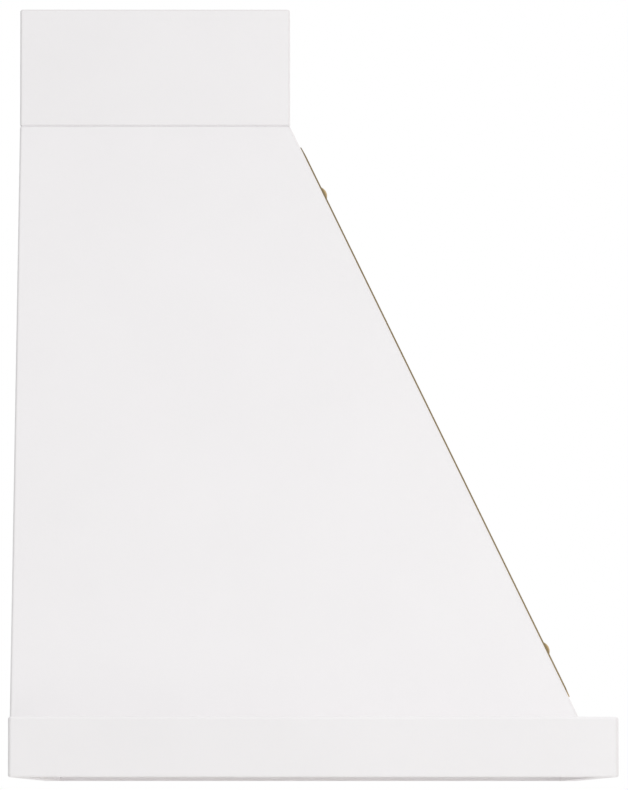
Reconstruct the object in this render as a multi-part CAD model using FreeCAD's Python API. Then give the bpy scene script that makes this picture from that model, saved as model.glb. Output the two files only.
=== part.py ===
import FreeCAD, Part
import os
from math import atan, cos, degrees, hypot, radians, sin, tan

# A tapered wooden range hood cover for a wall, 36 inches wide, with a brass strap on each edge of
# its sloped front. Millimetres. +X is to the right as seen from the kitchen, -Y comes out of the
# wall and +Z is up. The origin is on the wall, midway across, level with the underside.
#
# Three surrounds stand on each other: a low band, a body that tapers to the sides and the front,
# and an upright chimney. Each is a front board and two side boards, mitred, and open to the wall.
# Ledge boards, battens, glue blocks, stiles and rails inside join them and carry them on the wall.

# ---- Outside sizes -------------------------------------------------------------------------------
HOOD_WIDTH = 914.4          # over the band, for a 36 inch range
HOOD_DEPTH = 609.6          # from the wall to the front of the band, 24 inches
BAND_HEIGHT = 60.3
BODY_HEIGHT = 617.5
CHIMNEY_HEIGHT = 122.3
CHIMNEY_WIDTH = 457.2
CHIMNEY_DEPTH = 281.1
LEDGE_SHOWING = 38.1        # flat top of the band left showing in front of and beside the body

# ---- Boards --------------------------------------------------------------------------------------
BOARD = 19.05               # poplar of the band, ledge, chimney, rails and stiles
PANEL = 15.0                # board of the tapered body
LEDGE_WIDTH = 63.5
LINER_RAIL_FRONT = 95.25    # widths of the rails around the liner's opening
LINER_RAIL_BACK = 76.2
LINER_RAIL_SIDE = 76.2
BATTEN_WIDTH = 21.0         # strips inside the foot of the body
BATTEN_HEIGHT = 20.0
BODY_BLOCK_LEG = 32.0       # legs of the three-cornered glue blocks behind the mitres
CHIMNEY_BLOCK_LEG = 25.0
STILE_WIDTH = 38.1          # upright strips on the wall inside the side panels
STILE_DEPTH = 38.1
CLEAT_HEIGHT = 89.0         # hanging cleat, let into the stiles
CLEAT_BEVEL = 45.0          # degrees, of the edge that hooks over its mate on the wall
CLEAT_DROP = 70.0           # from the top of the body down to the top of the cleat
NECK_THICK = 18.0           # flat ring at the top of the body
NECK_FRONT = 20.0           # widths of its strips at the top, inside the panels
NECK_SIDE = 40.0
NECK_BACK = 25.0
CHIMNEY_BATTEN_WIDTH = 16.0 # strips inside the foot of the chimney
CHIMNEY_BATTEN_HEIGHT = 25.0
CHIMNEY_RAIL_HEIGHT = 65.0

# ---- Eased edges ---------------------------------------------------------------------------------
BAND_CORNER = 3.5           # radii on the upright corners
BODY_CORNER = 2.5
BAND_EASE = 2.5             # radii on the band's level edges, top and foot
BAND_FOOT_EASE = 1.9
JOINT_BEVEL = 1.6           # the pair that meet as a V groove between the body and the chimney

# ---- Straps and studs ----------------------------------------------------------------------------
STRAP_WIDTH = 38.1
STRAP_THICK = 2.6
STRAP_INSET = 22.2          # from the strap to every edge of the sloped front
STRAP_CLIP = 11.0           # 45 degree cut across each corner
STUD_HEAD = 7.5             # radius
STUD_DOME = 3.3
STUD_SHANK = 2.0            # radius
STUD_LENGTH = 14.0          # under the head
STUD_FROM_END = 54.5        # up the slope, from each end of the strap
STUD_CLEARANCE = 0.2        # around the shank in the strap

# ---- Screws and screw holes ----------------------------------------------------------------------
SCREW_SHANK = 2.1           # radius
SCREW_HEAD = 4.6            # radius over the corners of the hexagon
SCREW_HEAD_HEIGHT = 3.0
SCREW_COVER = 3.0           # wood left beyond the end of the screw
SCREW_MARGIN = 60.0         # from the end of a board to its first screw
WALL_HOLE = 3.0             # radius
WALL_STUD_SPACING = 406.4   # 16 inches
CHIMNEY_HOLE_SPACING = 304.8
LINER_HOLE = 1.6            # radius of the pilot holes for the liner's screws
LINER_HOLE_EDGE = 12.0      # from the edge of the opening
LINER_HOLE_SIDE = 60.0      # from the side of the opening

# ---- Levels --------------------------------------------------------------------------------------
BAND_TOP = BAND_HEIGHT
LEDGE_BOTTOM = BAND_TOP - BOARD
LINER_BOTTOM = LEDGE_BOTTOM - BOARD
BATTEN_TOP = BAND_TOP + BATTEN_HEIGHT
BODY_TOP = BAND_TOP + BODY_HEIGHT
NECK_BOTTOM = BODY_TOP - NECK_THICK
CLEAT_TOP = BODY_TOP - CLEAT_DROP
CLEAT_BOTTOM = CLEAT_TOP - CLEAT_HEIGHT
CHIMNEY_BATTEN_TOP = BODY_TOP + CHIMNEY_BATTEN_HEIGHT
CHIMNEY_TOP = BODY_TOP + CHIMNEY_HEIGHT
CHIMNEY_RAIL_BOTTOM = CHIMNEY_TOP - CHIMNEY_RAIL_HEIGHT

SIDES = ((-1, "left"), (1, "right"))
UP = FreeCAD.Vector(0, 0, 1)
BACK = FreeCAD.Vector(0, 1, 0)

parts = {}


# ---- Shapes --------------------------------------------------------------------------------------
def point(x, y, z):
    return FreeCAD.Vector(x, y, z)


def loop(*corners):
    points = [point(*c) for c in corners]
    return Part.makePolygon(points + points[:1])


def box(x0, x1, y0, y1, z0, z1):
    return Part.makeBox(x1 - x0, y1 - y0, z1 - z0, point(x0, y0, z0))


def taper(low, high):
    """Solid with flat faces between two loops of corners, one above the other."""
    pairs = list(zip(low, high))
    walls = [loop(a, b, top_b, top_a) for (a, top_a), (b, top_b) in zip(pairs, pairs[1:] + pairs[:1])]
    shell = Part.Shell([Part.Face(wire) for wire in [loop(*low), loop(*high)] + walls])
    shell.sewShape()
    return Part.Solid(shell).removeSplitter()


class Outline:
    """A plan rectangle on the wall whose half width and depth change evenly between two heights."""

    def __init__(self, z0, z1, half0, depth0, half1, depth1):
        self.z0, self.z1 = z0, z1
        self.half0, self.depth0 = half0, depth0
        self.side_slope = (half0 - half1) / (z1 - z0)
        self.front_slope = (depth0 - depth1) / (z1 - z0)

    def half(self, z):
        return self.half0 - self.side_slope * (z - self.z0)

    def depth(self, z):
        return self.depth0 - self.front_slope * (z - self.z0)

    def inset(self, thick):
        """The same taper moved in by a thickness, measured square to the sloped faces."""
        side = thick * hypot(1, self.side_slope)
        front = thick * hypot(1, self.front_slope)
        return Outline(self.z0, self.z1, self.half0 - side, self.depth0 - front,
                       self.half(self.z1) - side, self.depth(self.z1) - front)

    def corners(self, z, back):
        half, depth = self.half(z), self.depth(z)
        return [(-half, -depth, z), (half, -depth, z), (half, -back, z), (-half, -back, z)]

    def solid(self, z0, z1, back=0.0):
        return taper(self.corners(z0, back), self.corners(z1, back))


def near(a, b):
    return abs(a - b) < 1e-4


def level_edges(shape, z):
    return [e for e in shape.Edges if all(near(v.Point.z, z) for v in e.Vertexes)]


def rising_edges(shape):
    return [e for e in shape.Edges if not near(e.Vertexes[0].Point.z, e.Vertexes[-1].Point.z)]


def with_round_corners(solid, radius):
    return solid.makeFillet(radius, rising_edges(solid))


def with_round_edges(solid, radius, *levels):
    for z in levels:
        solid = solid.makeFillet(radius, level_edges(solid, z))
    return solid


def with_bevelled_edges(solid, size, *levels):
    for z in levels:
        solid = solid.makeChamfer(size, level_edges(solid, z))
    return solid


def mitred(name, outer_solid, outer, inner, z0, z1):
    """Front, left and right boards of a surround, cut apart from outer corner to inner corner."""
    low, high = z0 - BOARD, z1 + BOARD
    shell = outer_solid.cut(inner.solid(low, high, -BOARD))
    rings = []
    for z in (low, high):
        step_x = outer.half(z) - inner.half(z)
        step_y = outer.depth(z) - inner.depth(z)
        out_x, out_y = outer.half(z) + step_x, -outer.depth(z) - step_y
        in_x, in_y = inner.half(z) - step_x, -inner.depth(z) + step_y
        rings.append([(-out_x, out_y, z), (out_x, out_y, z), (in_x, in_y, z), (-in_x, in_y, z)])
    wedge = taper(*rings)
    parts[name + "_front"] = shell.common(wedge).Solids[0]
    for board in shell.cut(wedge).Solids:
        word = "left" if board.CenterOfMass.x < 0 else "right"
        parts[name + "_" + word] = board


def corner_block(outline, side, leg, z0, z1):
    """Three-cornered glue block in a front corner of an outline."""
    rings = []
    for z in (z0, z1):
        x, y = side * outline.half(z), -outline.depth(z)
        rings.append([(x, y, z), (x - side * leg, y, z), (x, y + leg, z)])
    return taper(*rings)


# ---- Outlines of the three surrounds -------------------------------------------------------------
band = Outline(0, BAND_TOP, HOOD_WIDTH / 2, HOOD_DEPTH, HOOD_WIDTH / 2, HOOD_DEPTH)
body = Outline(BAND_TOP, BODY_TOP, HOOD_WIDTH / 2 - LEDGE_SHOWING, HOOD_DEPTH - LEDGE_SHOWING,
               CHIMNEY_WIDTH / 2, CHIMNEY_DEPTH)
chimney = Outline(BODY_TOP, CHIMNEY_TOP, CHIMNEY_WIDTH / 2, CHIMNEY_DEPTH,
                  CHIMNEY_WIDTH / 2, CHIMNEY_DEPTH)
band_inside = band.inset(BOARD)
body_inside = body.inset(PANEL)
chimney_inside = chimney.inset(BOARD)


# ---- Band, ledge and the frame for the liner -----------------------------------------------------
def make_band():
    solid = with_round_corners(band.solid(0, BAND_TOP), BAND_CORNER)
    solid = with_round_edges(solid, BAND_FOOT_EASE, 0)
    solid = with_round_edges(solid, BAND_EASE, BAND_TOP)
    mitred("band", solid, band, band_inside, 0, BAND_TOP)
    half = band_inside.half0
    rail = box(-half, half, -BOARD, 0, 0, BAND_TOP)
    for z, radius in ((0, BAND_FOOT_EASE), (BAND_TOP, BAND_EASE)):
        on_wall = [e for e in level_edges(rail, z) if all(near(v.Point.y, 0) for v in e.Vertexes)]
        rail = rail.makeFillet(radius, on_wall)
    parts["wall_rail"] = rail


def make_ledge():
    solid = band_inside.solid(LEDGE_BOTTOM, BAND_TOP, BOARD)
    mitred("ledge", solid, band_inside, band_inside.inset(LEDGE_WIDTH), LEDGE_BOTTOM, BAND_TOP)


OPENING_HALF = band_inside.half0 - LINER_RAIL_SIDE
OPENING_FRONT = LINER_RAIL_FRONT - band_inside.depth0
OPENING_BACK = -BOARD - LINER_RAIL_BACK


def make_liner_rails():
    half, front = band_inside.half0, -band_inside.depth0
    levels = (LINER_BOTTOM, LEDGE_BOTTOM)
    parts["liner_rail_front"] = box(-half, half, front, OPENING_FRONT, *levels)
    parts["liner_rail_back"] = box(-half, half, OPENING_BACK, -BOARD, *levels)
    parts["liner_rail_left"] = box(-half, -OPENING_HALF, OPENING_FRONT, OPENING_BACK, *levels)
    parts["liner_rail_right"] = box(OPENING_HALF, half, OPENING_FRONT, OPENING_BACK, *levels)


# ---- Body ----------------------------------------------------------------------------------------
def make_body():
    solid = with_round_corners(body.solid(BAND_TOP, BODY_TOP), BODY_CORNER)
    solid = with_bevelled_edges(solid, JOINT_BEVEL, BODY_TOP)
    mitred("body", solid, body, body_inside, BAND_TOP, BODY_TOP)
    strips = body_inside.solid(BAND_TOP, BATTEN_TOP, STILE_DEPTH)
    mitred("batten", strips, body_inside, body_inside.inset(BATTEN_WIDTH), BAND_TOP, BATTEN_TOP)
    for side, word in SIDES:
        block = corner_block(body_inside, side, BODY_BLOCK_LEG, BATTEN_TOP, NECK_BOTTOM)
        parts["body_block_" + word] = block


def make_hanging_cleat():
    """Board across the back; its lower edge hooks down behind the edge of a cleat on the wall."""
    rise = BOARD * tan(radians(CLEAT_BEVEL))
    half = body_inside.half(CLEAT_BOTTOM)
    section = loop((-half, 0, CLEAT_BOTTOM), (-half, -BOARD, CLEAT_BOTTOM + rise),
                   (-half, -BOARD, CLEAT_TOP), (-half, 0, CLEAT_TOP))
    board = Part.Face(section).extrude(point(2 * half, 0, 0))
    parts["hanging_cleat"] = board.common(body_inside.solid(BAND_TOP, BODY_TOP))


def make_stiles():
    """Upright strips against the wall and the side panels, notched at the back for the cleat."""
    for side, word in SIDES:
        rings = []
        for z in (BAND_TOP, NECK_BOTTOM):
            outer = side * body_inside.half(z)
            inner = outer - side * STILE_WIDTH
            rings.append([(outer, 0, z), (inner, 0, z), (inner, -STILE_DEPTH, z),
                          (outer, -STILE_DEPTH, z)])
        parts["stile_" + word] = taper(*rings).cut(parts["hanging_cleat"])


def make_neck():
    """Flat ring inside the top of the body; the duct goes up through it."""
    half, depth = body_inside.half(BODY_TOP), body_inside.depth(BODY_TOP)
    wide = body_inside.half(NECK_BOTTOM)
    deep = body_inside.depth(NECK_BOTTOM)
    front, back, side = NECK_FRONT - depth, -NECK_BACK, half - NECK_SIDE
    levels = (NECK_BOTTOM, BODY_TOP)
    blanks = {"neck_front": box(-wide, wide, -deep, front, *levels),
              "neck_back": box(-wide, wide, back, 0, *levels),
              "neck_left": box(-wide, -side, front, back, *levels),
              "neck_right": box(side, wide, front, back, *levels)}
    for name, blank in blanks.items():
        parts[name] = blank.common(body_inside.solid(*levels))


# ---- Chimney -------------------------------------------------------------------------------------
def make_chimney():
    solid = with_round_corners(chimney.solid(BODY_TOP, CHIMNEY_TOP), BODY_CORNER)
    solid = with_bevelled_edges(solid, JOINT_BEVEL, BODY_TOP, CHIMNEY_TOP)
    mitred("chimney", solid, chimney, chimney_inside, BODY_TOP, CHIMNEY_TOP)
    strips = chimney_inside.solid(BODY_TOP, CHIMNEY_BATTEN_TOP, BOARD)
    mitred("chimney_batten", strips, chimney_inside, chimney_inside.inset(CHIMNEY_BATTEN_WIDTH),
           BODY_TOP, CHIMNEY_BATTEN_TOP)
    half = chimney_inside.half0
    rail = box(-half, half, -BOARD, 0, CHIMNEY_RAIL_BOTTOM, CHIMNEY_TOP)
    on_wall = [e for e in rail.Edges if all(near(v.Point.y, 0) for v in e.Vertexes)]
    top_edge = [e for e in on_wall if all(near(v.Point.z, CHIMNEY_TOP) for v in e.Vertexes)]
    parts["chimney_rail"] = rail.makeChamfer(JOINT_BEVEL, top_edge)
    for side, word in SIDES:
        block = corner_block(chimney_inside, side, CHIMNEY_BLOCK_LEG, CHIMNEY_BATTEN_TOP, CHIMNEY_TOP)
        parts["chimney_block_" + word] = block


# ---- Straps and studs ----------------------------------------------------------------------------
# They are drawn flat, with v running up the sloped front from its foot, and then laid on it.
FRONT_SLOPE = hypot(BODY_HEIGHT, body.depth0 - CHIMNEY_DEPTH)
FRONT_SPLAY = atan((body.half0 - CHIMNEY_WIDTH / 2) / FRONT_SLOPE)
FRONT_TURN = 90 - degrees(atan(body.front_slope))
ON_FRONT = FreeCAD.Placement(point(0, -body.depth0, BAND_TOP),
                             FreeCAD.Rotation(point(1, 0, 0), FRONT_TURN))


def strap_x(v, across):
    """Distance from the middle of the front at height v, so far across the strap from outside."""
    return body.half0 - v * tan(FRONT_SPLAY) - (STRAP_INSET + across) / cos(FRONT_SPLAY)


def strap_bar(side):
    """Flat bar with level ends and its four corners clipped."""
    low, high = STRAP_INSET, FRONT_SLOPE - STRAP_INSET
    outline = loop(*[(side * strap_x(v, across), v, 0) for v, across in
                     ((low, 0), (high, 0), (high, STRAP_WIDTH), (low, STRAP_WIDTH))])
    bar = Part.Face(outline).extrude(point(0, 0, STRAP_THICK))
    return bar.makeChamfer(STRAP_CLIP, [e for e in bar.Edges if near(e.Length, STRAP_THICK)])


def stud():
    """Domed nail, its head resting on z = 0 and its shank down through it."""
    dome_radius = (STUD_HEAD ** 2 + STUD_DOME ** 2) / (2 * STUD_DOME)
    ball = Part.makeSphere(dome_radius, point(0, 0, STUD_DOME - dome_radius))
    head = ball.common(Part.makeCylinder(STUD_HEAD, STUD_DOME))
    return head.fuse(Part.makeCylinder(STUD_SHANK, STUD_LENGTH, point(0, 0, -STUD_LENGTH)))


def make_straps():
    for side, word in SIDES:
        bar = strap_bar(side)
        studs = []
        for v in (STRAP_INSET + STUD_FROM_END, FRONT_SLOPE - STRAP_INSET - STUD_FROM_END):
            x = side * strap_x(v, STRAP_WIDTH / 2)
            bar = bar.cut(Part.makeCylinder(STUD_SHANK + STUD_CLEARANCE, STRAP_THICK, point(x, v, 0)))
            studs.append(stud().translated(point(x, v, STRAP_THICK)))
        parts["strap_" + word] = bar.transformed(ON_FRONT.toMatrix())
        group = Part.makeCompound(studs).transformed(ON_FRONT.toMatrix())
        parts["strap_studs_" + word] = group
        parts["body_front"] = parts["body_front"].cut(group)


# ---- Screws and holes ----------------------------------------------------------------------------
def screw(length):
    """Hex-head wood screw, its head standing on z = 0 and its shank towards +Z."""
    corners = [radians(60 * i) for i in range(6)]
    hexagon = loop(*[(SCREW_HEAD * cos(a), SCREW_HEAD * sin(a), 0) for a in corners])
    head = Part.Face(hexagon).extrude(point(0, 0, -SCREW_HEAD_HEIGHT))
    return head.fuse(Part.makeCylinder(SCREW_SHANK, length))


def drive_screws(name, boards, places, direction, thickness):
    """Screws at these places, through boards of this thickness in all, each in its own hole."""
    one = screw(thickness - SCREW_COVER)
    turn = FreeCAD.Rotation(UP, direction)
    group = Part.makeCompound([one.transformed(FreeCAD.Placement(place, turn).toMatrix())
                               for place in places])
    for board in boards:
        parts[board] = parts[board].cut(group)
    parts[name] = group


def spread(start, end, count):
    """Even places between two ends, each keeping the screw margin, or one place midway."""
    if count == 1:
        return [(start + end) / 2]
    start, end = start + SCREW_MARGIN, end - SCREW_MARGIN
    return [start + (end - start) * i / (count - 1) for i in range(count)]


def around(half, front, back, z, along_front, along_side):
    """Places along the front and the two sides of a surround."""
    xs = spread(-half, half, along_front)
    ys = spread(front, back, along_side)
    return [point(x, front, z) for x in xs] + [point(s * half, y, z) for s, _ in SIDES for y in ys]


def three(name):
    return [name + "_front", name + "_left", name + "_right"]


def make_screws():
    middle = LEDGE_WIDTH / 2
    places = around(band_inside.half0 - middle, middle - band_inside.depth0, OPENING_BACK,
                    LINER_BOTTOM, 2, 2)
    drive_screws("liner_rail_screws", three("liner_rail") + three("ledge"), places, UP, 2 * BOARD)

    strip = chimney_inside.inset(CHIMNEY_BATTEN_WIDTH / 2)
    places = around(strip.half0, -strip.depth0, -BOARD, NECK_BOTTOM, 1, 1)
    drive_screws("neck_screws", three("neck") + three("chimney_batten"), places, UP,
                 NECK_THICK + CHIMNEY_BATTEN_HEIGHT)

    heights = (CLEAT_TOP - CLEAT_HEIGHT / 4, CLEAT_TOP - CLEAT_HEIGHT / 2)
    places = [point(side * (body_inside.half(z) - STILE_WIDTH / 2), -STILE_DEPTH, z)
              for side, _ in SIDES for z in heights]
    drive_screws("cleat_screws", ["stile_left", "stile_right", "hanging_cleat"], places, BACK,
                 STILE_DEPTH)


def drill(board, places, direction, radius):
    for place in places:
        parts[board] = parts[board].cut(Part.makeCylinder(radius, BOARD, place, direction))


def drill_mounting_holes():
    """Holes for the screws that fix the rails to the wall and the liner to its frame."""
    for board, spacing, z in (("wall_rail", WALL_STUD_SPACING, BAND_TOP / 2),
                              ("chimney_rail", CHIMNEY_HOLE_SPACING,
                               CHIMNEY_TOP - CHIMNEY_RAIL_HEIGHT / 2)):
        drill(board, [point(side * spacing / 2, -BOARD, z) for side, _ in SIDES], BACK, WALL_HOLE)
    x = OPENING_HALF - LINER_HOLE_SIDE
    for board, y in (("liner_rail_front", OPENING_FRONT - LINER_HOLE_EDGE),
                     ("liner_rail_back", OPENING_BACK + LINER_HOLE_EDGE)):
        drill(board, [point(side * x, y, LINER_BOTTOM) for side, _ in SIDES], UP, LINER_HOLE)


# ---- The whole cover -----------------------------------------------------------------------------
make_band()
make_ledge()
make_liner_rails()
make_body()
make_hanging_cleat()
make_stiles()
make_neck()
make_chimney()
make_straps()
make_screws()
drill_mounting_holes()

os.makedirs("parts", exist_ok=True)
for name, shape in sorted(parts.items()):
    shape.exportStep("parts/" + name + ".step")
    size = shape.BoundBox
    print(f"{name:22s} {len(shape.Solids):2d} solids  {shape.Volume / 1000:8.1f} cm3  "
          f"{size.XLength:7.1f} x {size.YLength:6.1f} x {size.ZLength:6.1f}  valid {shape.isValid()}")
print(len(parts), "nodes")
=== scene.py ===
# %% [markdown]
# # A tapered range hood cover, white lacquer on poplar with brass straps
#
# The real thing is a joiner's box without a back. It hangs on a kitchen wall and hides the
# extractor: a low band at the foot, a body that leans in on three sides, and an upright chimney.
# A brass strap lies on each edge of the sloped front, held by two domed studs. The outside is
# lacquered, the underside is primed, and inside the wood is left bare.
#
# The exact model of every board is loaded first. It fixes where everything is, so nothing in this
# file has to be fitted by eye. All lengths in Blender are metres.

# %% Load the exact model
from math import asin, atan, cos, hypot, pi, radians, tan

import bmesh
import bpy
from mathutils import Matrix, Vector


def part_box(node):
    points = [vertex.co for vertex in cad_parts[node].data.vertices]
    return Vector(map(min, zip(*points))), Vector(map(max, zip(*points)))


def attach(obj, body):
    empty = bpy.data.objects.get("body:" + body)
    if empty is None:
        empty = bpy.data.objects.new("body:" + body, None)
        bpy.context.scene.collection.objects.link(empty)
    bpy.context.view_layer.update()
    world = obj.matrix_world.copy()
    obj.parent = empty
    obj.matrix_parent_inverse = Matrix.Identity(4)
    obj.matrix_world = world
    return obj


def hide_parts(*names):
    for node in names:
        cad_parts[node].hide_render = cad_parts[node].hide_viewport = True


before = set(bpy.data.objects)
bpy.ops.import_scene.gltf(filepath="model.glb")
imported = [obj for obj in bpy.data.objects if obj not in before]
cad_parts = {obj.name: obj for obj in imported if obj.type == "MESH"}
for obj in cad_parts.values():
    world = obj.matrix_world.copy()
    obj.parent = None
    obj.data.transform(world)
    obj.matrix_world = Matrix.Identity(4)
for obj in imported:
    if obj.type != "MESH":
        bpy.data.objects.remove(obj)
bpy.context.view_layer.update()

MM = 0.001
print("boards and fittings in the exact model:", len(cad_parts))

# %% [markdown]
# ## Sizes
#
# The outlines of the band, the body and the chimney are read from the boxes of their exact boards.
# Only what a box can't tell, such as a board's thickness or the radius of an eased edge, is written
# as a number.

# %% Sizes
band_half, band_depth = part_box("band_right")[1].x, -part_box("band_front")[0].y
body_half, body_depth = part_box("body_right")[1].x, -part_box("body_front")[0].y
chimney_half, chimney_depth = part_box("chimney_right")[1].x, -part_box("chimney_front")[0].y
band_foot, band_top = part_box("band_left")[0].z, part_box("band_left")[1].z
body_top, chimney_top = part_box("body_left")[1].z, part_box("chimney_left")[1].z
ledge_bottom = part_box("ledge_left")[0].z

BOARD = 19.05 * MM          # band, chimney and ledge boards
PANEL = 15 * MM             # boards of the leaning body
LEDGE_WIDTH = 63.5 * MM
BAND_CORNER = 3.5 * MM      # radius of the band's upright corners
BODY_CORNER = 2.5 * MM      # the same on the body and the chimney
BAND_EASE = 2.5 * MM        # radius of the band's top edges
BAND_FOOT_EASE = 1.9 * MM   # and of its lower ones
JOINT_BEVEL = 1.6 * MM      # the two bevels that meet as a groove under the chimney
HAIRLINE = 0.2 * MM         # what the lacquer leaves to be seen of a glued joint

side_lean = (body_half - chimney_half) / (body_top - band_top)
front_lean = (body_depth - chimney_depth) / (body_top - band_top)
print("side leans in", round(side_lean, 4), "and front leans back", round(front_lean, 4))

# %% [markdown]
# ## Camera
#
# The photograph looks square at the left side of the cover, from far away with a long lens, so
# the far side is only a little smaller than the near one. It was taken from just under the foot
# and turned up by about four degrees: the underside shows as a thin strip, and the upright edges
# stay nearly parallel. It stood level with the front of the chimney, and was turned a fifth of a
# degree back towards the middle of the cover. Turning the camera like this needs no lens shift.

# %% Camera
CAMERA_AWAY = 6.1954        # metres from the plane of the near side
CAMERA_OFF_WALL = 0.28545   # metres
CAMERA_UNDER_FOOT = 0.02997
CAMERA_TILT = 0.0664        # radians, upwards
CAMERA_TURN = -0.00323      # radians, towards the front of the cover
PICTURE_HEIGHT = 790        # pixels, its long side
FOCAL_PIXELS = 6199.5       # the focal length in the same pixels
SENSOR = 36.0               # millimetres on the long side
FOCAL = FOCAL_PIXELS * SENSOR / PICTURE_HEIGHT
FARTHEST_SEEN = 100         # metres

scene = bpy.context.scene
camera = bpy.data.objects.new("camera", bpy.data.cameras.new("camera"))
scene.collection.objects.link(camera)
scene.camera = camera
camera.data.sensor_width = SENSOR
camera.data.lens = FOCAL
camera.data.clip_end = FARTHEST_SEEN
scene.view_settings.view_transform = "Standard"
camera.location = (-band_half - CAMERA_AWAY, -CAMERA_OFF_WALL, -CAMERA_UNDER_FOOT)
camera.rotation_euler = (pi / 2 + CAMERA_TILT, 0, CAMERA_TURN - pi / 2)
print("lens", round(FOCAL, 1), "mm, seen from", [round(c, 3) for c in camera.location])

# %% [markdown]
# ## Nodes for the world, the floor and every material
#
# A material in Blender is a small network of nodes. One helper adds a node, sets its own options
# and fills its sockets, either with a value or with a link from another node. A second one turns
# a colour as painters and web pages write it into the linear light that the renderer works in,
# and a third starts a material with no nodes.

# %% Helpers for nodes and colours
def add_node(tree, kind, sockets=(), **options):
    made = tree.nodes.new(kind)
    for name, value in options.items():
        setattr(made, name, value)
    for name, value in dict(sockets).items():
        if isinstance(value, bpy.types.NodeSocket):
            tree.links.new(value, made.inputs[name])
        else:
            made.inputs[name].default_value = value
    return made


def colour(code):
    parts = [int(code[i:i + 2], 16) / 255 for i in (1, 3, 5)]
    linear = [p / 12.92 if p <= 0.04045 else ((p + 0.055) / 1.055) ** 2.4 for p in parts]
    return (*linear, 1.0)


def new_material(name):
    material = bpy.data.materials.new(name)
    material.use_nodes = True
    material.node_tree.nodes.clear()
    return material, material.node_tree


print("white paper in linear light:", [round(c, 3) for c in colour("#F7F7F5")[:3]])

# %% [markdown]
# ## Studio
#
# The cover is photographed against pure white. The world is white wherever the camera, a
# reflection or glass looks at it. The light that it sheds is a little under white, brighter from
# above, and only a third as strong from the side of the wall. A large soft lamp stands in front of
# the cover and to its left, as a window would.

# %% World
SKY = 0.925             # what the world sheds from the front and the sides
WALL_SHARE = 0.34       # how much of that comes from the wall side
WALL_REACHED = 0.8      # how far a direction has to point to the wall to get just that share
MORE_ABOVE = 0.36       # how much more of it comes from straight above

world = bpy.data.worlds.new("white_studio")
scene.world = world
world.use_nodes = True
tree = world.node_tree
tree.nodes.clear()
path = add_node(tree, "ShaderNodeLightPath")
seen = add_node(tree, "ShaderNodeMath", {0: path.outputs["Is Camera Ray"],
                                         1: path.outputs["Is Glossy Ray"]}, operation="MAXIMUM")
seen = add_node(tree, "ShaderNodeMath", {0: seen.outputs[0],
                                         1: path.outputs["Is Transmission Ray"]},
                operation="MAXIMUM")
where = add_node(tree, "ShaderNodeTexCoord")
toward = add_node(tree, "ShaderNodeSeparateXYZ", {0: where.outputs["Generated"]})
shed = add_node(tree, "ShaderNodeMapRange", {"Value": toward.outputs["Y"], "From Min": 0.0,
                                             "From Max": WALL_REACHED, "To Min": SKY,
                                             "To Max": SKY * WALL_SHARE},
                interpolation_type="SMOOTHSTEP")
raised = add_node(tree, "ShaderNodeMapRange", {"Value": toward.outputs["Z"], "To Min": 1.0,
                                               "To Max": 1 + MORE_ABOVE})
shed = add_node(tree, "ShaderNodeMath", {0: shed.outputs[0], 1: raised.outputs[0]},
                operation="MULTIPLY")
strength = add_node(tree, "ShaderNodeMix", {0: seen.outputs[0], 2: shed.outputs[0], 3: 1.0})
sky = add_node(tree, "ShaderNodeBackground", {"Color": (1, 1, 1, 1),
                                              "Strength": strength.outputs[0]})
add_node(tree, "ShaderNodeOutputWorld", {"Surface": sky.outputs[0]})
print("the world sheds", SKY, "from the front and", round(SKY * WALL_SHARE, 2), "from the wall")

# %% Lamp
WINDOW_PLACE = Vector((-2.7, -1.2, 1.15))
WINDOW_AIM = Vector((0, -0.4, 0.5))
WINDOW_SIZE = 1.4           # metres across
WINDOW_WATTS = 12

light = bpy.data.lights.new("soft_window", "AREA")
light.shape, light.size, light.energy = "DISK", WINDOW_SIZE, WINDOW_WATTS
window = bpy.data.objects.new("soft_window", light)
window.location = WINDOW_PLACE
window.rotation_euler = (WINDOW_AIM - WINDOW_PLACE).to_track_quat("-Z", "Y").to_euler()
window.visible_camera = False
scene.collection.objects.link(window)

# %% [markdown]
# ## Floor
#
# A hood cover hangs about three quarters of a metre over the cooker, so the floor of the studio
# lies that far below and takes a wide, faint shadow. It is pale, and it fades out into the white
# world before it would show an edge. It is only there from above: seen from underneath it lets
# the view through, because the underside of a hood is what a cook looks at.

# %% Floor
FLOOR_DROP = 0.78
FLOOR_SOLID, FLOOR_GONE = 1.2, 3.4      # metres from the middle, where it starts to fade and ends

floor_paper, tree = new_material("matt_studio_paper")
where = add_node(tree, "ShaderNodeTexCoord")
apart = add_node(tree, "ShaderNodeVectorMath", {0: where.outputs["Object"]}, operation="LENGTH")
fade = add_node(tree, "ShaderNodeMapRange", {"Value": apart.outputs["Value"],
                                             "From Min": FLOOR_SOLID, "From Max": FLOOR_GONE,
                                             "To Min": 1.0, "To Max": 0.0},
                interpolation_type="SMOOTHSTEP")
face = add_node(tree, "ShaderNodeNewGeometry")
above = add_node(tree, "ShaderNodeMath", {0: 1.0, 1: face.outputs["Backfacing"]},
                 operation="SUBTRACT")
there = add_node(tree, "ShaderNodeMath", {0: fade.outputs[0], 1: above.outputs[0]},
                 operation="MULTIPLY")
paper = add_node(tree, "ShaderNodeBsdfDiffuse", {"Color": colour("#F7F7F5")})
clear = add_node(tree, "ShaderNodeBsdfTransparent")
both = add_node(tree, "ShaderNodeMixShader", {0: there.outputs[0], 1: clear.outputs[0],
                                              2: paper.outputs[0]})
add_node(tree, "ShaderNodeOutputMaterial", {"Surface": both.outputs[0]})

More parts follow.
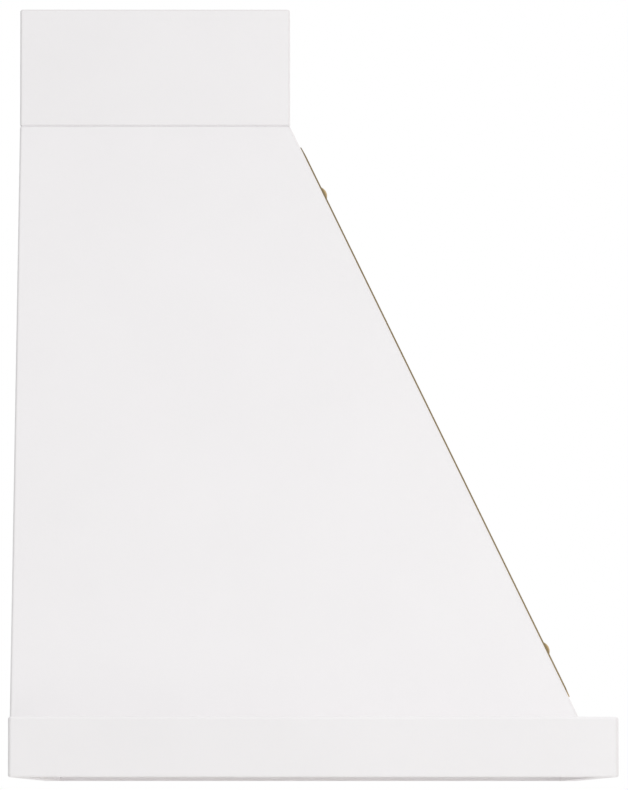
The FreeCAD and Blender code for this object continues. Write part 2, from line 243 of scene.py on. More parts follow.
bm = bmesh.new()
bmesh.ops.create_grid(bm, x_segments=1, y_segments=1, size=FLOOR_GONE)
floor_mesh = bpy.data.meshes.new("floor")
bm.to_mesh(floor_mesh)
bm.free()
floor_mesh.materials.append(floor_paper)
floor = bpy.data.objects.new("floor", floor_mesh)
floor.location = (0, -band_depth / 2, -FLOOR_DROP)
scene.collection.objects.link(floor)
print("floor", FLOOR_DROP, "m below the foot")

# %% [markdown]
# ## Satin lacquer sprayed on poplar
#
# The outside is white conversion lacquer, sprayed over primer and rubbed down between coats. It
# is even and slightly cool, with a soft sheen. Close up a sprayed film has orange peel, shallow
# swellings about 3 mm across, and on wood the grain sinks in by two hundredths of a millimetre.
# Halfway round the corners between front and sides, and on the chimney's top bevel, the colour is
# painted a shade greyer as painted shade, and there the film has less gloss.
#
# Grain has a direction, and each board runs its own way. So every wooden piece carries an attribute
# named lengthwise, the position along, across and through its own board, and one material serves
# them all.

# %% Lacquer
LACQUER_CLOUDS = 9.0                    # per metre: 110 mm across
LACQUER_GRAIN = (8.0, 420.0, 420.0)     # per metre along, across and through: 2.4 mm apart
LACQUER_GRAIN_DEPTH = 0.02 * MM
PEEL_SIZE, PEEL_DEPTH = 3.2 * MM, 0.03 * MM
LACQUER_ROUGHNESS = (0.34, 0.42)
LACQUER_IOR = 1.48
FULL_GLOSS, THIN_GLOSS = 0.5, 0.1

lacquer, tree = new_material("satin_lacquer_sprayed_on_poplar")
board_place = add_node(tree, "ShaderNodeAttribute", attribute_name="lengthwise")
# This attribute says how much shade is painted on an edge; it also lowers the gloss there.
painted_edge_shade = add_node(tree, "ShaderNodeAttribute", attribute_name="painted_edge_shade")
where = add_node(tree, "ShaderNodeTexCoord")
cloud = add_node(tree, "ShaderNodeTexNoise", {"Vector": where.outputs["Object"],
                                              "Scale": LACQUER_CLOUDS, "Detail": 2.0})
even = add_node(tree, "ShaderNodeMix", {0: cloud.outputs["Fac"], 6: colour("#EFEDEE"),
                                        7: colour("#EBE9EA")}, data_type="RGBA")
# Painted shade: edges go from the lacquer's colour down to #DCD9D9.
film_with_painted_shade = add_node(tree, "ShaderNodeMix", {0: painted_edge_shade.outputs["Fac"], 6: even.outputs[2],
                                        7: colour("#DCD9D9")}, data_type="RGBA")
stretch = add_node(tree, "ShaderNodeMapping", {"Vector": board_place.outputs["Vector"],
                                               "Scale": LACQUER_GRAIN})
grain = add_node(tree, "ShaderNodeTexNoise", {"Vector": stretch.outputs[0], "Scale": 1.0,
                                              "Detail": 3.0})
peel = add_node(tree, "ShaderNodeTexNoise", {"Vector": where.outputs["Object"],
                                             "Scale": 1 / PEEL_SIZE, "Detail": 1.0})
sunk = add_node(tree, "ShaderNodeBump", {"Height": grain.outputs["Fac"], "Strength": 1.0,
                                         "Distance": LACQUER_GRAIN_DEPTH})
skin = add_node(tree, "ShaderNodeBump", {"Height": peel.outputs["Fac"], "Strength": 1.0,
                                         "Distance": PEEL_DEPTH, "Normal": sunk.outputs[0]})
sheen = add_node(tree, "ShaderNodeMapRange", {"Value": cloud.outputs["Fac"],
                                              "To Min": LACQUER_ROUGHNESS[0],
                                              "To Max": LACQUER_ROUGHNESS[1]})
gloss = add_node(tree, "ShaderNodeMapRange", {"Value": painted_edge_shade.outputs["Fac"],
                                              "To Min": FULL_GLOSS, "To Max": THIN_GLOSS})
surface = add_node(tree, "ShaderNodeBsdfPrincipled", {"Base Color": film_with_painted_shade.outputs[2],
                                                      "Roughness": sheen.outputs[0],
                                                      "IOR": LACQUER_IOR,
                                                      "Specular IOR Level": gloss.outputs[0],
                                                      "Normal": skin.outputs[0]})
add_node(tree, "ShaderNodeOutputMaterial", {"Surface": surface.outputs[0]})
print("lacquer colour runs from #EFEDEE to #EBE9EA")

# %% [markdown]
# ## Primer
#
# Round the underside, where nobody looks, the joiner stops at one coat of white primer: the feet
# of the band, its inside and the rails that the liner is screwed to. Primer is full of chalk, so
# it is matt. It is a little greyer than the lacquer, and the roller leaves it slightly ribbed along
# the board.

# %% Primer
PRIMER_RIBS = (12.0, 300.0, 300.0)      # per metre along, across and through the board
PRIMER_RIB_DEPTH = 0.05 * MM
PRIMER_ROUGHNESS = (0.75, 0.9)
PRIMER_GLOSS = 0.05

primer, tree = new_material("primer_rolled_on_poplar")
board_place = add_node(tree, "ShaderNodeAttribute", attribute_name="lengthwise")
strokes = add_node(tree, "ShaderNodeMapping", {"Vector": board_place.outputs["Vector"],
                                               "Scale": PRIMER_RIBS})
ribs = add_node(tree, "ShaderNodeTexNoise", {"Vector": strokes.outputs[0], "Scale": 1.0,
                                             "Detail": 3.0})
coat = add_node(tree, "ShaderNodeMix", {0: ribs.outputs["Fac"], 6: colour("#EFECEE"),
                                        7: colour("#E6E3E5")}, data_type="RGBA")
raised = add_node(tree, "ShaderNodeBump", {"Height": ribs.outputs["Fac"], "Strength": 1.0,
                                           "Distance": PRIMER_RIB_DEPTH})
chalk = add_node(tree, "ShaderNodeMapRange", {"Value": ribs.outputs["Fac"],
                                              "To Min": PRIMER_ROUGHNESS[0],
                                              "To Max": PRIMER_ROUGHNESS[1]})
surface = add_node(tree, "ShaderNodeBsdfPrincipled", {"Base Color": coat.outputs[2],
                                                      "Roughness": chalk.outputs[0],
                                                      "Specular IOR Level": PRIMER_GLOSS,
                                                      "Normal": raised.outputs[0]})
add_node(tree, "ShaderNodeOutputMaterial", {"Surface": surface.outputs[0]})
print("primer ribs about", round(1000 / PRIMER_RIBS[1], 1), "mm apart")

# %% [markdown]
# ## Bare planed poplar
#
# Everything else inside is yellow poplar, planed and left bare: cream, with broad bands of
# grey-green heartwood, fine straight grain and short pores. Wood is solid, so its pattern is worked
# out in three dimensions and drawn out along the board. Long faces then show streaks and the ends
# show spots without any extra work.

# %% Poplar
HEART_BANDS = (0.9, 26.0, 26.0)         # per metre along, across and through: 38 mm wide
RING_LINES = (5.0, 260.0, 260.0)
PORE_STROKES = (90.0, 1400.0, 1400.0)   # 11 mm long and 0.7 mm apart
GRAIN_BENDS, BEND_REACH = 5.0, 0.03     # per metre, and metres that the grain swings sideways
HEART_SHOWS, HEART_MOST = (0.5, 0.72), 0.8      # of the noise that draws it, and of its colour
RINGS_SHOW, RINGS_MOST = (0.42, 0.72), 0.55
NAP_DEPTH = 0.12 * MM
POPLAR_ROUGHNESS = (0.55, 0.75)

poplar, tree = new_material("poplar_planed_bare")
board_place = add_node(tree, "ShaderNodeAttribute", attribute_name="lengthwise")
bend = add_node(tree, "ShaderNodeTexNoise", {"Vector": board_place.outputs["Vector"],
                                             "Scale": GRAIN_BENDS, "Detail": 1.0})
bent = add_node(tree, "ShaderNodeVectorMath", {0: bend.outputs["Color"],
                                               1: (0.0, BEND_REACH, BEND_REACH)},
                operation="MULTIPLY")
ripple = add_node(tree, "ShaderNodeVectorMath", {0: board_place.outputs["Vector"],
                                                 1: bent.outputs[0]}, operation="ADD")
broad = add_node(tree, "ShaderNodeMapping", {"Vector": ripple.outputs[0],
                                             "Scale": HEART_BANDS})
heart = add_node(tree, "ShaderNodeTexNoise", {"Vector": broad.outputs[0], "Scale": 1.0,
                                              "Detail": 2.0})
heartwood = add_node(tree, "ShaderNodeMapRange", {"Value": heart.outputs["Fac"],
                                                  "From Min": HEART_SHOWS[0],
                                                  "From Max": HEART_SHOWS[1],
                                                  "To Max": HEART_MOST},
                     interpolation_type="SMOOTHSTEP")
wood = add_node(tree, "ShaderNodeMix", {0: heartwood.outputs[0], 6: colour("#E2CFA6"),
                                        7: colour("#B9AE80")}, data_type="RGBA")
narrow = add_node(tree, "ShaderNodeMapping", {"Vector": ripple.outputs[0],
                                              "Scale": RING_LINES})
rings = add_node(tree, "ShaderNodeTexNoise", {"Vector": narrow.outputs[0], "Scale": 1.0,
                                              "Detail": 4.0})
darker = add_node(tree, "ShaderNodeMapRange", {"Value": rings.outputs["Fac"],
                                               "From Min": RINGS_SHOW[0],
                                               "From Max": RINGS_SHOW[1],
                                               "To Max": RINGS_MOST},
                  interpolation_type="SMOOTHSTEP")
ringed = add_node(tree, "ShaderNodeMix", {0: darker.outputs[0], 6: wood.outputs[2],
                                          7: colour("#B39565")}, data_type="RGBA")
short = add_node(tree, "ShaderNodeMapping", {"Vector": ripple.outputs[0],
                                             "Scale": PORE_STROKES})
pores = add_node(tree, "ShaderNodeTexNoise", {"Vector": short.outputs[0], "Scale": 1.0,
                                              "Detail": 2.0})
furrow = add_node(tree, "ShaderNodeMath", {0: rings.outputs["Fac"], 1: pores.outputs["Fac"]},
                  operation="ADD")
nap = add_node(tree, "ShaderNodeBump", {"Height": furrow.outputs[0], "Strength": 1.0,
                                        "Distance": NAP_DEPTH})
matt = add_node(tree, "ShaderNodeMapRange", {"Value": pores.outputs["Fac"],
                                             "To Min": POPLAR_ROUGHNESS[0],
                                             "To Max": POPLAR_ROUGHNESS[1]})
surface = add_node(tree, "ShaderNodeBsdfPrincipled", {"Base Color": ringed.outputs[2],
                                                      "Roughness": matt.outputs[0],
                                                      "Normal": nap.outputs[0]})
add_node(tree, "ShaderNodeOutputMaterial", {"Surface": surface.outputs[0]})
print("poplar grain lines about", round(1000 / RING_LINES[1], 1), "mm apart")

# %% [markdown]
# ## Brushed brass, darkened, with painted shade and highlights
#
# The straps and studs are brass that has been brushed and then darkened with a patina. The brown
# on the straps' edges and round the foot of each stud is partly patina and partly painted shade,
# and the studs' crowns carry a painted highlight and the straps' lower ends a painted reflection.
# A second attribute says how bright each place is.

# %% Brass
BRUSH_LINES = (14.0, 1800.0, 1800.0)    # per metre along, across and through the strap
PATINA_PATCHES = 38.0                   # per metre: 26 mm across
PATINA_SHOWS, PATINA_MOST = (0.4, 0.75), 0.35   # of the noise that draws it, and of its colour
SCRATCH_DEPTH = 0.02 * MM
BRASS_ROUGHNESS = (0.22, 0.42)

brass, tree = new_material("brass_brushed_and_darkened")
strap_place = add_node(tree, "ShaderNodeAttribute", attribute_name="lengthwise")
worn_and_painted_light = add_node(tree, "ShaderNodeAttribute", attribute_name="worn_and_painted_light")
lines = add_node(tree, "ShaderNodeMapping", {"Vector": strap_place.outputs["Vector"],
                                             "Scale": BRUSH_LINES})
brushed = add_node(tree, "ShaderNodeTexNoise", {"Vector": lines.outputs[0], "Scale": 1.0,
                                                "Detail": 3.0})
patch = add_node(tree, "ShaderNodeTexNoise", {"Vector": strap_place.outputs["Vector"],
                                              "Scale": PATINA_PATCHES, "Detail": 4.0})
bloom = add_node(tree, "ShaderNodeMapRange", {"Value": patch.outputs["Fac"],
                                              "From Min": PATINA_SHOWS[0],
                                              "From Max": PATINA_SHOWS[1],
                                              "To Max": PATINA_MOST})
# Where the attribute is 1 the brass is bright, partly worn and partly painted highlight; where it
# is 0 it is dark brown, patina and painted shade.
kept = add_node(tree, "ShaderNodeMath", {0: worn_and_painted_light.outputs["Fac"], 1: bloom.outputs[0]},
                operation="SUBTRACT", use_clamp=True)
metal = add_node(tree, "ShaderNodeMix", {0: kept.outputs[0], 6: colour("#857556"),
                                         7: colour("#CBAC74")}, data_type="RGBA")
scratch = add_node(tree, "ShaderNodeBump", {"Height": brushed.outputs["Fac"], "Strength": 1.0,
                                            "Distance": SCRATCH_DEPTH})
polish = add_node(tree, "ShaderNodeMapRange", {"Value": brushed.outputs["Fac"],
                                               "To Min": BRASS_ROUGHNESS[0],
                                               "To Max": BRASS_ROUGHNESS[1]})
surface = add_node(tree, "ShaderNodeBsdfPrincipled", {"Base Color": metal.outputs[2],
                                                      "Metallic": 1.0,
                                                      "Roughness": polish.outputs[0],
                                                      "Normal": scratch.outputs[0]})
add_node(tree, "ShaderNodeOutputMaterial", {"Surface": surface.outputs[0]})
print("brush lines", round(1000 / BRUSH_LINES[1], 2), "mm apart")

# %% [markdown]
# ## Zinc-plated steel
#
# The screws that hold the inner frame together are steel, bright zinc plated: a bluish grey with a
# faint cloudy bloom.

# %% Zinc
BLOOM_SPOTS = 500.0                     # per metre: 2 mm across
ZINC_ROUGHNESS = (0.25, 0.45)

zinc, tree = new_material("steel_zinc_plated")
where = add_node(tree, "ShaderNodeTexCoord")
haze = add_node(tree, "ShaderNodeTexNoise", {"Vector": where.outputs["Object"],
                                             "Scale": BLOOM_SPOTS, "Detail": 3.0})
plating = add_node(tree, "ShaderNodeMix", {0: haze.outputs["Fac"], 6: colour("#9DA3AA"),
                                           7: colour("#C6C9CC")}, data_type="RGBA")
blur = add_node(tree, "ShaderNodeMapRange", {"Value": haze.outputs["Fac"],
                                             "To Min": ZINC_ROUGHNESS[0],
                                             "To Max": ZINC_ROUGHNESS[1]})
surface = add_node(tree, "ShaderNodeBsdfPrincipled", {"Base Color": plating.outputs[2],
                                                      "Metallic": 1.0,
                                                      "Roughness": blur.outputs[0]})
add_node(tree, "ShaderNodeOutputMaterial", {"Surface": surface.outputs[0]})
print("materials:", [m.name for m in (lacquer, primer, poplar, brass, zinc)])

# %% [markdown]
# ## From a bmesh to a piece
#
# A bmesh is a mesh that operators can work on. When a shape is done it becomes an object, which
# takes the place of the board in the exact model and keeps that board's name in its own. Corners
# sharper than 35 degrees stay sharp. A Weighted Normal modifier keeps the wide faces flat to the
# eye while the narrow eased ones turn smoothly.
#
# Each board also gets its lengthwise attribute here. The turn lays the board's own length along x,
# and the shift is different for each, so that no two look sawn from the same plank.

# %% Make a piece
def along(*direction):
    """The turn that lays a board which runs in this direction along x."""
    return Vector(direction).rotation_difference(Vector((1, 0, 0))).to_matrix()


ALONG_X, ALONG_Y, ALONG_Z = along(1, 0, 0), along(0, 1, 0), along(0, 0, 1)
NEXT_PLANK = Vector((0.31, 0.17, 0.11))     # metres in the grain from one piece to the next
SHARP = radians(35)
made_pieces = []


def finish_piece(bm, name, node, materials, turn=ALONG_X):
    bmesh.ops.recalc_face_normals(bm, faces=bm.faces[:])
    for edge in bm.edges:
        edge.smooth = edge.calc_face_angle(pi) < SHARP
    for f in bm.faces:
        f.smooth = True
    mesh = bpy.data.meshes.new(name)
    bm.to_mesh(mesh)
    bm.free()
    shift = NEXT_PLANK * (len(made_pieces) + 1)
    places = mesh.attributes.new("lengthwise", "FLOAT_VECTOR", "POINT")
    for vertex, place in zip(mesh.vertices, places.data):
        place.vector = turn @ vertex.co + shift
    for material in materials:
        mesh.materials.append(material)
    piece = bpy.data.objects.new(name, mesh)
    scene.collection.objects.link(piece)
    piece.modifiers.new("flat_faces", "WEIGHTED_NORMAL").keep_sharp = True
    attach(piece, "root")
    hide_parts(node)
    made_pieces.append(name)
    return piece


# %% [markdown]
# ## Mitred boards
#
# On the bench, a surround is three boards whose ends are sawn to the same angle, so that they
# meet in a line from the outer corner to the inner one. Where the boards lean two ways, as in the
# body, that is a compound mitre, the hardest cut in this piece.
#
# Here it is done the other way round. The whole surround starts as one block with eased edges,
# and each board is sawn out of it with bisect_plane: one cut for the board's thickness and one
# for each mitre. The roundings then run through the joints by themselves.

# %% Block and saw
ROUND_STEPS = 5             # flat faces across a rounded edge
ON_PLANE = 1e-6             # metres within which a corner counts as lying on a plane
SAW_SNAP = 1e-7
LEAST_RISE = 1 * MM         # of an edge that counts as going up
FLAT, MOSTLY, PARTLY, BARELY = 0.99, 0.9, 0.5, 0.1      # how much of a normal points one way


def tapered_block(foot, top, back=0.0):
    """A block from two sizes, each (half width, depth, height), with its back near the wall."""
    bm = bmesh.new()
    bmesh.ops.create_cube(bm, size=2)
    for v in bm.verts:
        half, depth, height = top if v.co.z > 0 else foot
        v.co = (v.co.x * half, -back if v.co.y > 0 else -depth, height)
    return bm


def ease(bm, edges, size, segments):
    bmesh.ops.bevel(bm, geom=edges, offset=size, offset_type="OFFSET", affect="EDGES",
                    segments=segments, profile=0.5, material=-1, clamp_overlap=True)


def rising(bm):
    return [e for e in bm.edges if abs(e.verts[0].co.z - e.verts[1].co.z) > LEAST_RISE]


def level(bm, height):
    return [e for e in bm.edges if all(abs(v.co.z - height) < ON_PLANE for v in e.verts)]


def on_a_cut(face, cuts):
    return any(all(abs((v.co - place).dot(outward)) < ON_PLANE for v in face.verts)
               for place, outward in cuts)


def saw(bm, cuts):
    """Take off what lies beyond each plane, and ease the new edges that show in the paint."""
    for place, outward in cuts:
        whole = bm.verts[:] + bm.edges[:] + bm.faces[:]
        cut = bmesh.ops.bisect_plane(bm, geom=whole, dist=SAW_SNAP, plane_co=place,
                                     plane_no=outward, clear_outer=True)
        rim = [e for e in cut["geom_cut"] if isinstance(e, bmesh.types.BMEdge)]
        closed = bmesh.ops.contextual_create(bm, geom=rim)["faces"][0]
        line = [e for e in closed.edges if not all(on_a_cut(f, cuts) for f in e.link_faces)]
        ease(bm, line, HAIRLINE, 1)


bm = tapered_block((1, 1, 0), (0.5, 0.5, 1))
print("a block has", len(bm.faces), "faces")
bm.free()


# %% One board of a surround
SIDES = (("left", -1), ("right", 1))
LACQUERED, BARE, PRIMED = 0, 1, 2
FINISHES = (lacquer, poplar, primer)        # in the order of those numbers
# How much painted shade the chimney's top bevel gets
TOP_BEVEL_SHADE = 0.6


def board_cuts(foot, top, thickness):
    """The planes that part the front from the two sides, and the inside of each board."""
    height = top[2] - foot[2]
    lean_x, lean_y = (foot[0] - top[0]) / height, (foot[1] - top[1]) / height
    front_out = Vector((0, -1, lean_y)).normalized()
    cuts = {"front": [(Vector((0, -foot[1], foot[2])) - front_out * thickness, -front_out)],
            "left": [], "right": []}
    for word, side in SIDES:
        side_out = Vector((side, 0, lean_x)).normalized()
        outer = Vector((side * foot[0], -foot[1], foot[2]))
        upper = Vector((side * top[0], -top[1], top[2]))
        inner = outer + Vector((-side * thickness * hypot(1, lean_x),
                                thickness * hypot(1, lean_y), 0))
        mitre = (upper - outer).cross(inner - outer).normalized()
        if mitre.y < 0:
            mitre = -mitre
        cuts["front"].append((outer, mitre))
        cuts[word] = [(outer - side_out * thickness, -side_out), (outer, -mitre)]
    return cuts


def edge_shade_amount(face):
    """How much shade is painted on: 1 halfway round a front corner, and less on the topmost bevel.
    """
    if chimney_top - JOINT_BEVEL < face.calc_center_median().z < chimney_top - HAIRLINE:
        return TOP_BEVEL_SHADE if face.normal.z > PARTLY else 0.0
    return max(-2 * abs(face.normal.x) * face.normal.y, 0.0)


def surround(name, foot, top, thickness, corner, rounds=(), bevels=(), back=0.0,
             coat=None, runs=(ALONG_X, ALONG_Y, ALONG_Y)):
    cuts = board_cuts(foot, top, thickness)
    for word, turn in zip(("front", "left", "right"), runs):
        bm = tapered_block(foot, top, back)
        if corner:
            ease(bm, rising(bm), corner, ROUND_STEPS)
        for height, radius in rounds:
            ease(bm, level(bm, height), radius, ROUND_STEPS)
        for height in bevels:
            ease(bm, level(bm, height), JOINT_BEVEL, 1)
        saw(bm, cuts[word])
        bm.normal_update()
        # Each face records how much shade is painted on its colour.
        edge_shade_layer = bm.faces.layers.float.new("painted_edge_shade")
        for f in bm.faces:
            sawn = BARE if on_a_cut(f, cuts[word]) else LACQUERED
            f.material_index = coat(f) if coat else sawn
            f[edge_shade_layer] = edge_shade_amount(f)
        finish_piece(bm, f"{name}_board_{word}", f"{name}_{word}", FINISHES, turn)


print("planes for a front board:", len(board_cuts((1, 1, 0), (0.5, 0.5, 1), 0.1)["front"]))

# %% [markdown]
# ## Band, ledge, body and chimney
#
# The band's edges are rounded by hand with sandpaper before spraying, and its foot and inside get
# only primer. The body and the chimney meet in a shallow V, two small bevels, which hides the
# joint between them. Their boards stand on end, with the grain running up them. The ledge is the
# flat shelf that closes the band's top, and only its upper side is lacquered.

# %% The four surrounds
band_plan = (band_half, band_depth)
ledge_plan = (band_half - BOARD, band_depth - BOARD)
body_plan = (body_half, body_depth)
chimney_plan = (chimney_half, chimney_depth)


def band_coat(face):
    """Primer on the foot and inside, lacquer on the rest."""
    place = face.calc_center_median()
    inside = (abs(place.x) < band_half - BOARD + HAIRLINE
              and place.y > BOARD - HAIRLINE - band_depth)
    return PRIMED if inside or face.normal.z < -FLAT else LACQUERED


surround("band", (*band_plan, band_foot), (*band_plan, band_top), BOARD,
         BAND_CORNER, rounds=((band_foot, BAND_FOOT_EASE), (band_top, BAND_EASE)),
         coat=band_coat)
surround("ledge", (*ledge_plan, ledge_bottom), (*ledge_plan, band_top),
         LEDGE_WIDTH, 0, back=BOARD, coat=lambda f: LACQUERED if f.normal.z > PARTLY else BARE)
surround("body", (*body_plan, band_top), (*chimney_plan, body_top), PANEL,
         BODY_CORNER, bevels=(body_top,),
         runs=(along(0, front_lean, 1), along(side_lean, 0, 1), along(-side_lean, 0, 1)))
surround("chimney", (*chimney_plan, body_top), (*chimney_plan, chimney_top),
         BOARD, BODY_CORNER, bevels=(body_top, chimney_top), runs=(ALONG_Z, ALONG_Z, ALONG_Z))
print("boards:", made_pieces)

# %% [markdown]
# ## Bare boards inside
#
# Battens, glue blocks, stiles, the neck's strips, the chimney's rail and the hanging cleat do
# their work out of sight. Each is a plain board, so a copy of the exact one is merged, its
# triangles are joined to whole faces, and its arrises are taken off by little more than half a
# millimetre, as one stroke of a block plane does.

# %% Bare boards
ARRIS = 0.6 * MM
SHORTEST_PLANED = 5 * MM
WELD = 0.01 * MM            # corners of the exact model's triangles that are merged
SAME_FACE = radians(1)
FRAME_RUNS = {"front": ALONG_X, "back": ALONG_X, "left": ALONG_Y, "right": ALONG_Y}

runs_along = {"hanging_cleat": ALONG_X, "chimney_rail": ALONG_X}
for group in ("batten", "neck", "chimney_batten"):
    for word, turn in FRAME_RUNS.items():
        if f"{group}_{word}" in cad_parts:
            runs_along[f"{group}_{word}"] = turn
for word, side in SIDES:
    runs_along["stile_" + word] = along(-side * side_lean, 0, 1)
    runs_along["body_block_" + word] = along(-side * side_lean, front_lean, 1)
    runs_along["chimney_block_" + word] = ALONG_Z


def planed_copy(node):
    bm = bmesh.new()
    bm.from_mesh(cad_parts[node].data)
    bmesh.ops.remove_doubles(bm, verts=bm.verts[:], dist=WELD)
    bmesh.ops.dissolve_limit(bm, angle_limit=SAME_FACE, verts=bm.verts[:], edges=bm.edges[:])
    arrises = [e for e in bm.edges if e.calc_face_angle(0) > SHARP]
    ease(bm, [e for e in arrises if e.calc_length() > SHORTEST_PLANED], ARRIS, 2)
    return bm


for node, turn in runs_along.items():
    finish_piece(planed_copy(node), "bare_" + node, node, (poplar,), turn)
print("bare boards:", len(runs_along))

# %% [markdown]
# ## Rails round the underside
#
# The wall rail closes the band at the back. It shows beside the body, so its top is lacquered like
# the band. Four more rails lie flat under the ledge and frame the opening for the liner. What can
# be seen of these from below is primed, and what is glued or lies on the wall stays bare.

# %% Wall rail and liner rails
bm = planed_copy("wall_rail")
bm.normal_update()
for f in bm.faces:
    seen_from_below = f.normal.z < -BARELY or f.normal.y < -MOSTLY
    on_the_wall = f.normal.y > MOSTLY
    f.material_index = PRIMED if seen_from_below else BARE if on_the_wall else LACQUERED
finish_piece(bm, "band_wall_rail", "wall_rail", FINISHES)

for word, turn in FRAME_RUNS.items():
    bm = planed_copy("liner_rail_" + word)
    bm.normal_update()
    for f in bm.faces:
        f.material_index = BARE if f.normal.z > MOSTLY else PRIMED
    finish_piece(bm, "primed_liner_rail_" + word, "liner_rail_" + word, FINISHES,
                 turn)
print("rails:", made_pieces[-5:])

# %% [markdown]
# ## Straps
#
# Each strap is a flat brass bar, 38 mm wide, with its corners clipped off. It is easiest drawn
# lying flat, with its length going up the sloped front from the front's foot, and then turned
# onto the slope by one matrix. The two long edges lean with the front's own edge, so the bar is a
# slightly sheared box. Its rim is rounded, and two insets give the dark edge, patina with painted
# shade, room to fade. Its lengthwise attribute is taken while it still lies flat.

# %% Straps
STRAP_WIDTH = 38.1 * MM
STRAP_THICK = 2.6 * MM
STRAP_INSET = 22.2 * MM     # from the strap to every edge of the sloped front
STRAP_CLIP = 11 * MM
STRAP_RIM, RIM_STEPS = 0.7 * MM, 4
PATINA_AND_SHADE_FADES = (1.5 * MM, 3.5 * MM)
BRIGHT_END = 1 * MM         # of the strap's foot, painted bright as a painted reflection

slope_length = hypot(body_top - band_top, body_depth - chimney_depth)
splay = atan((body_half - chimney_half) / slope_length)
on_front = (Matrix.Translation((0, -body_depth, band_top))
            @ Matrix.Rotation(pi / 2 - atan(front_lean), 4, "X"))


def strap_x(up, across):
    """Distance from the middle of the front, so far up it and so far across the strap."""
    return body_half - up * tan(splay) - (STRAP_INSET + across) / cos(splay)


def write_worn_and_painted_light(piece, values):
    worn_and_painted_light = piece.data.attributes.new("worn_and_painted_light", "FLOAT", "POINT")
    for value, place in zip(values, worn_and_painted_light.data):
        place.value = value


for word, side in SIDES:
    bm = bmesh.new()
    bmesh.ops.create_cube(bm, size=2)
    for v in bm.verts:
        up = slope_length - STRAP_INSET if v.co.y > 0 else STRAP_INSET
        across = 0 if v.co.x * side > 0 else STRAP_WIDTH
        v.co = (side * strap_x(up, across), up, STRAP_THICK if v.co.z > 0 else 0)
    ease(bm, rising(bm), STRAP_CLIP, 1)
    ease(bm, level(bm, STRAP_THICK), STRAP_RIM, RIM_STEPS)
    bm.normal_update()
    broad = max((f for f in bm.faces if f.normal.z > PARTLY), key=lambda f: f.calc_area())
    for width in PATINA_AND_SHADE_FADES:
        bmesh.ops.inset_region(bm, faces=[broad], thickness=width, use_even_offset=True)
    flat = [v.co.copy() for v in bm.verts]
    # The broad face is bright brass, the strap's foot is painted bright as a painted reflection,
    # and the edges stay dark, patina with painted shade.
    end = STRAP_INSET + BRIGHT_END
    bright = [float(v in broad.verts[:] or v.co.y < end) for v in bm.verts]
    bmesh.ops.transform(bm, matrix=on_front, verts=bm.verts[:])
    piece = finish_piece(bm, "brass_strap_" + word, "strap_" + word, (brass,))
    for co, place in zip(flat, piece.data.attributes["lengthwise"].data):
        place.vector = (co.y, co.x, co.z + side)
    write_worn_and_painted_light(piece, bright)
print("straps", round((slope_length - 2 * STRAP_INSET) / MM), "mm long")

# %% [markdown]
# ## Studs
#
# A stud's domed head is a turned shape, so it is spun twice. One vertex swung about the centre of
# the dome draws the profile from crown to rim, and that profile spun about the stud's own axis
# draws the dome. The shank goes through the strap into the front board.

# %% Studs
STUD_HEAD = 7.5 * MM        # radius
STUD_DOME = 3.3 * MM
STUD_SHANK = 2.0 * MM
STUD_LENGTH = 14 * MM
STUD_FROM_END = 54.5 * MM
DOME_STEPS, TURN_STEPS = 9, 40
SPIN_WELD = 0.001 * MM
FADE, BROWN = 3, 0.7        # brown, patina with painted shade, up to a quarter of the dome's height; a painted highlight from over half

dome_radius = (STUD_HEAD ** 2 + STUD_DOME ** 2) / (2 * STUD_DOME)
dome_centre = Vector((0, 0, STUD_DOME - dome_radius))
dome_angle = asin(STUD_HEAD / dome_radius)


def stud(bm):
    """Add one stud standing on z = 0, and return its vertices."""
    before = set(bm.verts)
    crown = bm.verts.new((0, 0, STUD_DOME))
    bmesh.ops.spin(bm, geom=[crown], cent=dome_centre, axis=(0, 1, 0), angle=dome_angle,
                   steps=DOME_STEPS)
    profile = [v for v in bm.verts if v not in before]
    edges = list(dict.fromkeys(e for v in profile for e in v.link_edges))
    bmesh.ops.spin(bm, geom=profile + edges, cent=(0, 0, 0), axis=(0, 0, 1), angle=2 * pi,
                   steps=TURN_STEPS, use_merge=True)
    mine = [v for v in bm.verts if v not in before]
    bmesh.ops.remove_doubles(bm, verts=mine, dist=SPIN_WELD)
    foot = [e for e in bm.edges if e.is_boundary]
    base = bmesh.ops.contextual_create(bm, geom=foot)["faces"]
    bmesh.ops.inset_region(bm, faces=base, thickness=STUD_HEAD - STUD_SHANK, use_even_offset=True)
    shank = bmesh.ops.extrude_discrete_faces(bm, faces=base)["faces"]
    bmesh.ops.translate(bm, verts=shank[0].verts[:], vec=(0, 0, -STUD_LENGTH))
    return [v for v in bm.verts if v not in before]


for word, side in SIDES:
    bm = bmesh.new()
    for up in (STRAP_INSET + STUD_FROM_END, slope_length - STRAP_INSET - STUD_FROM_END):
        place = Vector((side * strap_x(up, STRAP_WIDTH / 2), up, STRAP_THICK))
        bmesh.ops.translate(bm, verts=stud(bm), vec=place)
    heights = [(v.co.z - STRAP_THICK) / STUD_DOME for v in bm.verts]
    bmesh.ops.transform(bm, matrix=on_front, verts=bm.verts[:])
    piece = finish_piece(bm, "brass_studs_" + word, "strap_studs_" + word, (brass,))
    # The crown gets a painted highlight, and the foot stays brown, patina with painted shade.
    write_worn_and_painted_light(piece, [min(max(height * FADE - BROWN, 0), 1) for height in heights])
print("studs stand", round((STRAP_THICK + STUD_DOME) / MM, 1), "mm off the front")

# %% [markdown]
# ## Screws
#
# Hexagon-head screws with a flange hold the liner rails under the ledge, the neck under the
# chimney's battens, and the stiles to the hanging cleat. Their places are read from the exact
# model: its screws are loose shapes, and the corners of each say where it is and how far it
# reaches.

# %% Screws
HEAD_RADIUS = 4.6 * MM      # of the flange
HEAD_HEIGHT = 3.0 * MM      # hexagon and flange together
FLANGE_THICK, FLANGE_TAPER = 0.8 * MM, 0.9
HEXAGON_RADIUS, HEXAGON_EASE = 3.9 * MM, 0.35 * MM
SHANK_RADIUS, SHANK_TAPER = 2.1 * MM, 0.8


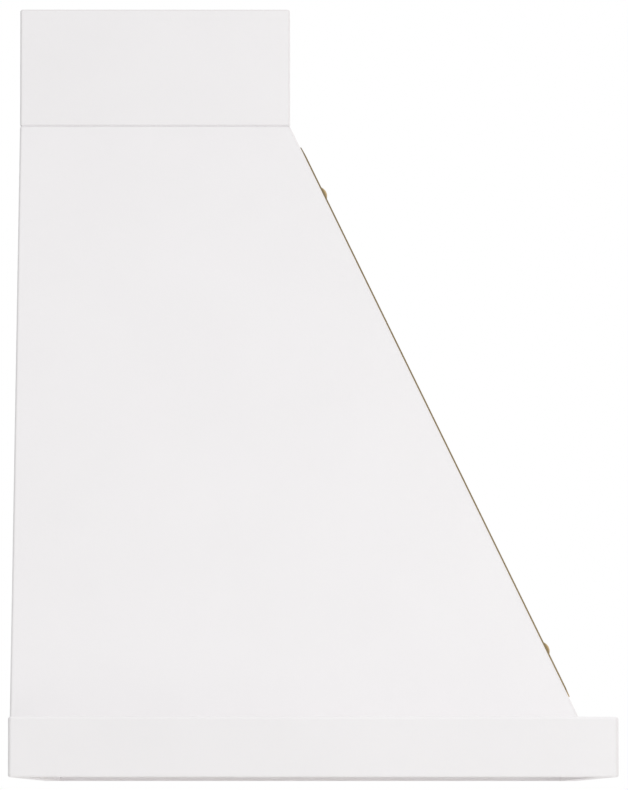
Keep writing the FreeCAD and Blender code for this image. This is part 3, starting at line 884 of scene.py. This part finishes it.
def loose_shapes(node):
    """The vertices of each separate solid in a node of the exact model."""
    bm = bmesh.new()
    bm.from_mesh(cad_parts[node].data)
    bmesh.ops.remove_doubles(bm, verts=bm.verts[:], dist=WELD)
    known, shapes = set(), []
    for first in bm.verts:
        if first in known:
            continue
        known.add(first)
        todo, shape = [first], []
        while todo:
            v = todo.pop()
            shape.append(v.co.copy())
            joined = [w for w in (e.other_vert(v) for e in v.link_edges) if w not in known]
            known.update(joined)
            todo += joined
        shapes.append(shape)
    bm.free()
    return shapes


def screw(bm, length):
    """Add one screw: the flange lies on z = 0, the head below it and the shank above."""
    before = set(bm.verts)
    flange = bmesh.ops.create_cone(bm, cap_ends=True, segments=24,
                                   radius1=HEAD_RADIUS * FLANGE_TAPER, radius2=HEAD_RADIUS,
                                   depth=FLANGE_THICK)["verts"]
    bmesh.ops.translate(bm, verts=flange, vec=(0, 0, -FLANGE_THICK / 2))
    hexagon = bmesh.ops.create_cone(bm, cap_ends=True, segments=6, radius1=HEXAGON_RADIUS,
                                    radius2=HEXAGON_RADIUS,
                                    depth=HEAD_HEIGHT - FLANGE_THICK)["verts"]
    bmesh.ops.translate(bm, verts=hexagon, vec=(0, 0, -(HEAD_HEIGHT + FLANGE_THICK) / 2))
    lowest = min(v.co.z for v in hexagon) + ON_PLANE
    edges = list(dict.fromkeys(e for v in hexagon if v.co.z < lowest for e in v.link_edges))
    ease(bm, edges, HEXAGON_EASE, 2)
    shank = bmesh.ops.create_cone(bm, cap_ends=True, segments=16, radius1=SHANK_RADIUS,
                                  radius2=SHANK_RADIUS * SHANK_TAPER, depth=length)["verts"]
    bmesh.ops.translate(bm, verts=shank, vec=(0, 0, length / 2))
    return [v for v in bm.verts if v not in before]


for node, way in (("liner_rail_screws", Vector((0, 0, 1))), ("neck_screws", Vector((0, 0, 1))),
                  ("cleat_screws", Vector((0, 1, 0)))):
    bm = bmesh.new()
    shapes = loose_shapes(node)
    for shape in shapes:
        reach = [p.dot(way) for p in shape]
        middle = sum(shape, Vector()) / len(shape)
        start = min(reach) + HEAD_HEIGHT
        foot = middle - way * (middle.dot(way) - start)
        turned = way.to_track_quat("Z", "Y").to_matrix().to_4x4()
        bmesh.ops.transform(bm, matrix=Matrix.Translation(foot) @ turned,
                            verts=screw(bm, max(reach) - start))
    finish_piece(bm, "zinc_" + node, node, (zinc,))
    print(node, len(shapes))
